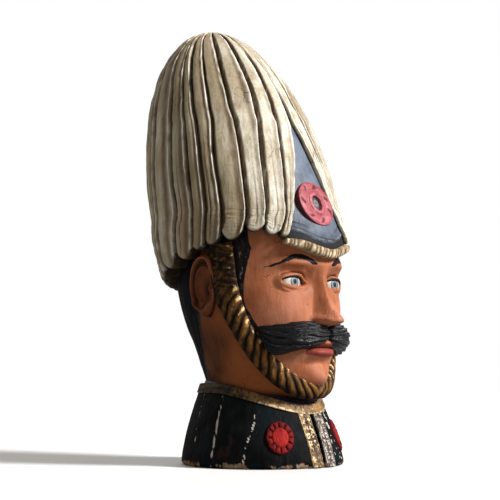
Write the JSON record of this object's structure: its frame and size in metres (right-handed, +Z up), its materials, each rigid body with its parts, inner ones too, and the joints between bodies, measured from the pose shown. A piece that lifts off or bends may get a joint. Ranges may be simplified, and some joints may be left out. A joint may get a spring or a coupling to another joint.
{
  "type": "carved fairground bust",
  "caption": "Carved and painted wooden bust of a plumed officer with moustache, chin strap and stand collar, standing on its flat foot.",
  "frame": {"origin": "middle of the collar's flat underside", "axes": "+Z up to the crown of the hat, -Y the way the face looks, -X the figure's right hand side"},
  "size_m": [0.244, 0.2923, 0.5615],
  "materials": {
    "painted_pine": "aged hand-painted wood"
  },
  "bodies": {
    "root": {"carved_bust": "painted_pine"}
  },
  "joints": []
}
